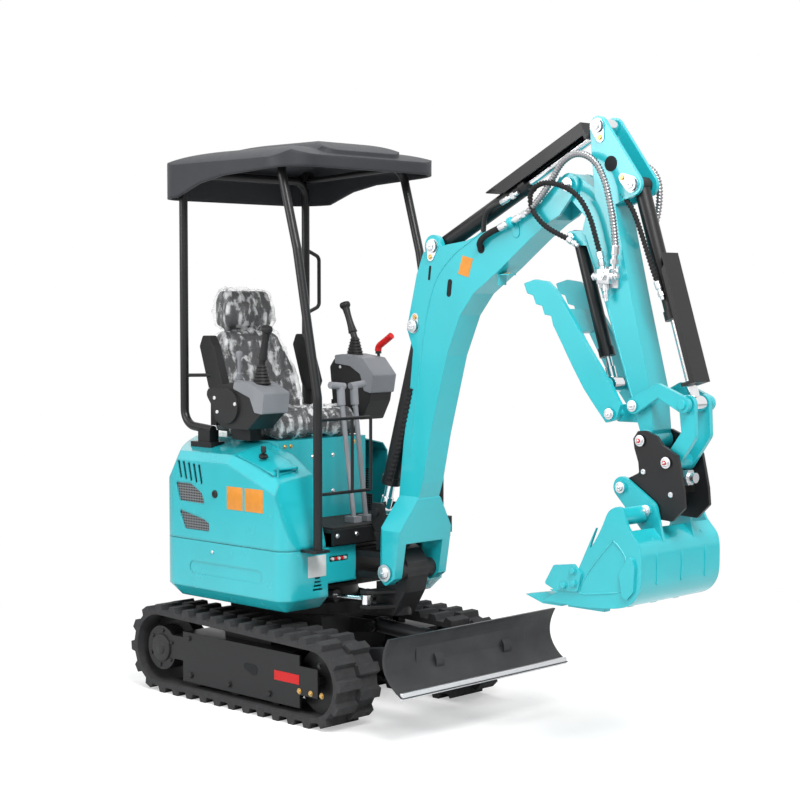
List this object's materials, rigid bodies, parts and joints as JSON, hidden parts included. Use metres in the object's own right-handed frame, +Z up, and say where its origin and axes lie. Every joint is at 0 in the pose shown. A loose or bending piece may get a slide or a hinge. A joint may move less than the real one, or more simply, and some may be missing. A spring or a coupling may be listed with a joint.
{
  "type": "mini excavator",
  "caption": "Mini excavator on rubber tracks with a canopy, swing boom, arm, thumb, quick hitch, digging bucket and front blade.",
  "frame": {"origin": "centre of the machine's bounding box, on the ground", "axes": "+X forward towards the bucket, +Y to the operator's left, +Z up"},
  "size_m": [2.7608, 1.004, 2.4339],
  "materials": {
    "teal_paint": "gloss",
    "black_paint": "satin",
    "track_rubber": "matt, moulded lugs",
    "roof_plastic": "fine moulded grain",
    "grey_plastic": "moulded",
    "black_plastic": "moulded",
    "seat_vinyl": "vinyl",
    "chrome": "polished",
    "mat_rubber": "ribbed",
    "cast_iron": "rough cast, painted black",
    "red_plastic": "gloss"
  },
  "bodies": {
    "undercarriage": {"carbody": "black_paint", "track_frame_left": "black_paint", "track_frame_right": "black_paint", "track_left": "track_rubber", "track_right": "track_rubber", "track_wheels_left": "cast_iron", "track_wheels_right": "cast_iron"},
    "house": {"armrests": "black_plastic", "canopy_frame": "black_paint", "canopy_roof": "roof_plastic", "console_left": "black_plastic", "console_right": "black_plastic", "console_top_left": "grey_plastic", "console_top_right": "grey_plastic", "engine_block": "cast_iron", "floor_mat": "mat_rubber", "front_guard": "black_paint", "grilles": "black_paint", "hood": "teal_paint", "house_frame": "black_paint", "joystick_left": "black_plastic", "joystick_right": "black_plastic", "lock_lever": "red_plastic", "seat": "seat_vinyl", "seat_base": "teal_paint", "seat_rails": "black_paint", "skirt": "teal_paint", "travel_levers": "grey_plastic"},
    "arm": {"arm": "teal_paint"},
    "arm_cylinder_barrel": {"arm_cylinder_barrel": "black_paint"},
    "arm_cylinder_rod": {"arm_cylinder_guard": "black_paint", "arm_cylinder_rod": "chrome"},
    "blade": {"blade": "black_paint"},
    "blade_cylinder_barrel": {"blade_cylinder_barrel": "black_paint"},
    "blade_cylinder_rod": {"blade_cylinder_rod": "chrome"},
    "boom": {"boom": "teal_paint"},
    "boom_cylinder_barrel": {"boom_cylinder_barrel": "black_paint"},
    "boom_cylinder_rod": {"boom_cylinder_rod": "chrome"},
    "bucket": {"bucket": "teal_paint", "quick_hitch": "black_paint"},
    "bucket_cylinder_barrel": {"bucket_cylinder_barrel": "black_paint"},
    "bucket_cylinder_rod": {"bucket_cylinder_guard": "black_paint", "bucket_cylinder_rod": "chrome"},
    "engine_door": {"engine_door": "teal_paint"},
    "fuel_lid": {"fuel_lid": "teal_paint"},
    "h_link": {"h_link": "teal_paint"},
    "side_links": {"side_links": "teal_paint"},
    "swing_cylinder_barrel": {"swing_cylinder_barrel": "black_paint"},
    "swing_cylinder_rod": {"swing_cylinder_rod": "chrome"},
    "swing_post": {"swing_post": "cast_iron"},
    "thumb": {"thumb": "teal_paint"},
    "thumb_cylinder_barrel": {"thumb_cylinder_barrel": "black_paint"},
    "thumb_cylinder_rod": {"thumb_cylinder_rod": "chrome"}
  },
  "joints": [
    {"name": "slew", "type": "hinge", "parent": "undercarriage", "child": "house", "pos_m": [-0.68955, 0, 0.44], "axis": [0, 0, 1], "continuous": true},
    {"name": "blade_lift", "type": "hinge", "parent": "undercarriage", "child": "blade", "pos_m": [-0.35955, 0, 0.232], "axis": [0, -1, 0], "range_deg": [-32, 8]},
    {"name": "blade_cylinder_barrel_pivot", "type": "hinge", "parent": "undercarriage", "child": "blade_cylinder_barrel", "pos_m": [-0.29455, 0, 0.352], "axis": [0, 1, 0], "range_deg": [-9.52, 35.09]},
    {"name": "blade_cylinder_rod_travel", "type": "slide", "parent": "blade_cylinder_barrel", "child": "blade_cylinder_rod", "axis": [0.9987, 0, -0.0517], "range_m": [-0.02039, 0.07555]},
    {"name": "engine_door_hinge", "type": "hinge", "parent": "house", "child": "engine_door", "pos_m": [-1.25655, -0.348, 0.895], "axis": [0, 0, 1], "range_deg": [0, 105]},
    {"name": "fuel_lid_hinge", "type": "hinge", "parent": "house", "child": "fuel_lid", "pos_m": [-0.44655, -0.385, 1.042], "axis": [0, 1, 0], "range_deg": [0, 85]},
    {"name": "boom_swing", "type": "hinge", "parent": "house", "child": "swing_post", "pos_m": [-0.17955, 0, 0.6], "axis": [0, 0, 1], "range_deg": [-55, 60]},
    {"name": "swing_cylinder_barrel_pivot", "type": "hinge", "parent": "house", "child": "swing_cylinder_barrel", "pos_m": [-0.70955, -0.235, 0.488], "axis": [0, 0, 1], "range_deg": [-4.44, 4.16]},
    {"name": "swing_cylinder_rod_travel", "type": "slide", "parent": "swing_cylinder_barrel", "child": "swing_cylinder_rod", "axis": [0.9857, 0.1683, 0], "range_m": [-0.12568, 0.13692]},
    {"name": "boom_lift", "type": "hinge", "parent": "swing_post", "child": "boom", "pos_m": [-0.09455, 0, 0.613], "axis": [0, -1, 0], "range_deg": [-95, 10]},
    {"name": "boom_cylinder_barrel_pivot", "type": "hinge", "parent": "boom", "child": "boom_cylinder_barrel", "pos_m": [-0.02155, 0, 1.639], "axis": [0, 1, 0], "range_deg": [-1.12, 2.15]},
    {"name": "boom_cylinder_rod_travel", "type": "slide", "parent": "boom_cylinder_barrel", "child": "boom_cylinder_rod", "axis": [-0.2797, 0, -0.9601], "range_m": [-0.04702, 0.42971]},
    {"name": "arm_crowd", "type": "hinge", "parent": "boom", "child": "arm", "pos_m": [0.79445, 0, 2.184], "axis": [0, 1, 0], "range_deg": [-95, 20]},
    {"name": "arm_cylinder_barrel_pivot", "type": "hinge", "parent": "boom", "child": "arm_cylinder_barrel", "pos_m": [0.08645, 0, 1.966], "axis": [0, 1, 0], "range_deg": [-14.36, 3.81]},
    {"name": "arm_cylinder_rod_travel", "type": "slide", "parent": "arm_cylinder_barrel", "child": "arm_cylinder_rod", "axis": [0.8906, 0, 0.4548], "range_m": [-0.34002, 0.07316]},
    {"name": "bucket_turn", "type": "hinge", "parent": "arm", "child": "bucket", "pos_m": [1.15945, 0, 1.231], "axis": [0, -1, 0], "range_deg": [-65, 80]},
    {"name": "side_links_pivot", "type": "hinge", "parent": "arm", "child": "side_links", "pos_m": [1.12245, 0, 1.357], "axis": [0, 1, 0], "range_deg": [-55.4, 45.2]},
    {"name": "h_link_pivot", "type": "hinge", "parent": "bucket", "child": "h_link", "pos_m": [1.27645, 0, 1.157], "axis": [0, 1, 0], "range_deg": [-42.76, 52.39]},
    {"name": "bucket_cylinder_barrel_pivot", "type": "hinge", "parent": "arm", "child": "bucket_cylinder_barrel", "pos_m": [1.08945, 0, 2.172], "axis": [0, 1, 0], "range_deg": [-2.88, 2.53]},
    {"name": "bucket_cylinder_rod_travel", "type": "slide", "parent": "bucket_cylinder_barrel", "child": "bucket_cylinder_rod", "axis": [0.2998, 0, -0.954], "range_m": [-0.19185, 0.15625]},
    {"name": "thumb_turn", "type": "hinge", "parent": "arm", "child": "thumb", "pos_m": [1.03545, 0, 1.325], "axis": [0, -1, 0], "range_deg": [0, 80]},
    {"name": "thumb_cylinder_barrel_pivot", "type": "hinge", "parent": "arm", "child": "thumb_cylinder_barrel", "pos_m": [0.80045, 0, 1.983], "axis": [0, 1, 0], "range_deg": [-1, 10.74]},
    {"name": "thumb_cylinder_rod_travel", "type": "slide", "parent": "thumb_cylinder_barrel", "child": "thumb_cylinder_rod", "axis": [0.2938, 0, -0.9559], "range_m": [-0.002, 0.12344]}
  ],
  "couplings": [
    {"joint": "blade_cylinder_barrel_pivot", "follows": "blade_lift", "ratio": -1.0653},
    {"joint": "blade_cylinder_rod_travel", "follows": "blade_lift", "m_per_rad": -0.1317},
    {"joint": "swing_cylinder_barrel_pivot", "follows": "boom_swing", "ratio": -0.057397},
    {"joint": "swing_cylinder_rod_travel", "follows": "boom_swing", "m_per_rad": 0.12884},
    {"joint": "boom_cylinder_barrel_pivot", "follows": "boom_lift", "ratio": -0.01214},
    {"joint": "boom_cylinder_rod_travel", "follows": "boom_lift", "m_per_rad": -0.25796},
    {"joint": "arm_cylinder_barrel_pivot", "follows": "arm_crowd", "ratio": 0.14058},
    {"joint": "arm_cylinder_rod_travel", "follows": "arm_crowd", "m_per_rad": 0.20387},
    {"joint": "side_links_pivot", "follows": "bucket_turn", "ratio": -0.67999},
    {"joint": "h_link_pivot", "follows": "bucket_turn", "ratio": 0.64243},
    {"joint": "bucket_cylinder_barrel_pivot", "follows": "bucket_turn", "ratio": -0.02356},
    {"joint": "bucket_cylinder_rod_travel", "follows": "bucket_turn", "m_per_rad": -0.13597},
    {"joint": "thumb_cylinder_barrel_pivot", "follows": "thumb_turn", "ratio": 0.12177},
    {"joint": "thumb_cylinder_rod_travel", "follows": "thumb_turn", "m_per_rad": 0.086977}
  ]
}
